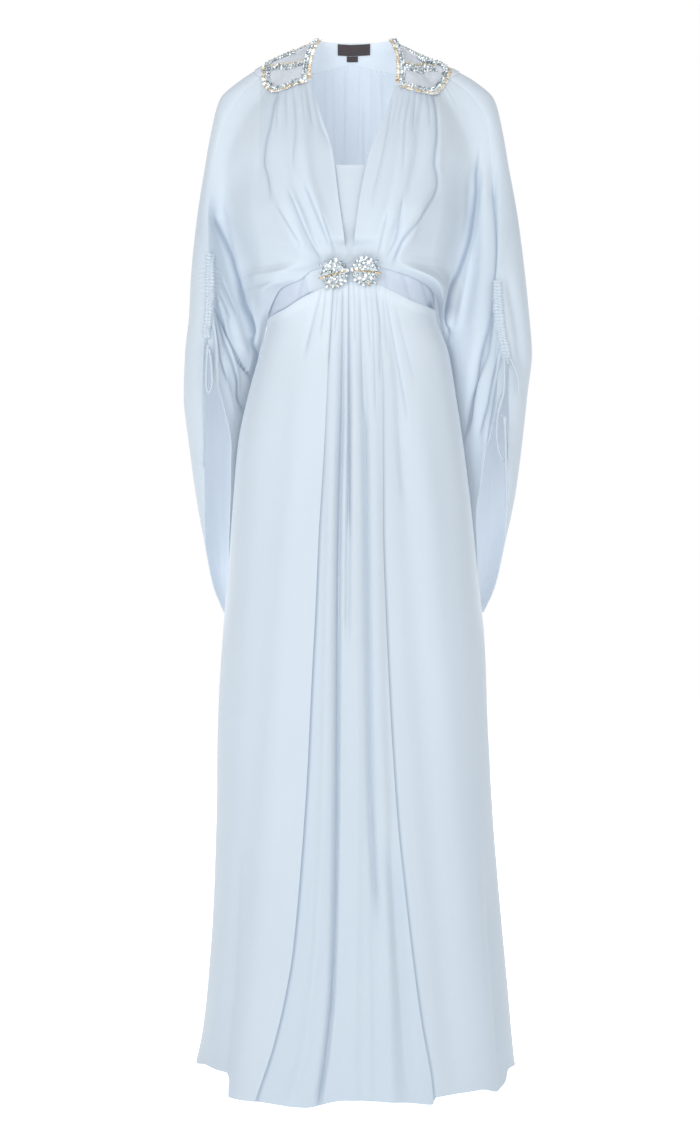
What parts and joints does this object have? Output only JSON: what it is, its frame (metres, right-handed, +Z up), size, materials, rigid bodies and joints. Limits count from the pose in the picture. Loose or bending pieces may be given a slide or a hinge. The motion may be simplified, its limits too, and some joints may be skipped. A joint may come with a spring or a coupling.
{
  "type": "kaftan",
  "caption": "Floor-length worn kaftan gown with a deep V neck, beaded net shoulder yokes, batwing sleeves drawn up by ties, a jewelled waist clasp and a softly pleated A-line skirt.",
  "frame": {"origin": "midway between the two shoulder yokes at the neck points, where the wearer's shoulders hold the gown", "axes": "+Z up, -Y towards the front of the gown, +X towards the sleeve on the right as seen from the front"},
  "size_m": [0.4972, 0.4856, 1.4655],
  "materials": {
    "chiffon": "pale blue chiffon, soft sheen",
    "band_satin": "smooth pale blue crepe",
    "net": "translucent lilac-grey net",
    "label": "dark woven tape, plain",
    "setting": "pale gold setting, polished",
    "crystal": "clear faceted crystal",
    "champagne": "champagne faceted stone"
  },
  "bodies": {
    "root": {"front_left": "chiffon", "front_right": "chiffon", "back_left": "chiffon", "back_right": "chiffon", "back_yoke": "chiffon", "neck_label": "label", "size_tab": "label", "neck_insert": "chiffon", "yoke_left": "net", "yoke_right": "net", "band_left": "band_satin", "band_right": "band_satin", "band_back": "band_satin", "skirt_front_left": "chiffon", "skirt_front_centre": "chiffon", "skirt_front_right": "chiffon", "skirt_back": "chiffon", "channel_left": "chiffon", "channel_right": "chiffon", "clasp_left": "setting", "clasp_right": "setting", "tie_left_loop": "chiffon", "tie_left_end": "chiffon", "tie_right_loop": "chiffon", "tie_right_end": "chiffon", "tie_right_side": "chiffon"}
  },
  "joints": []
}
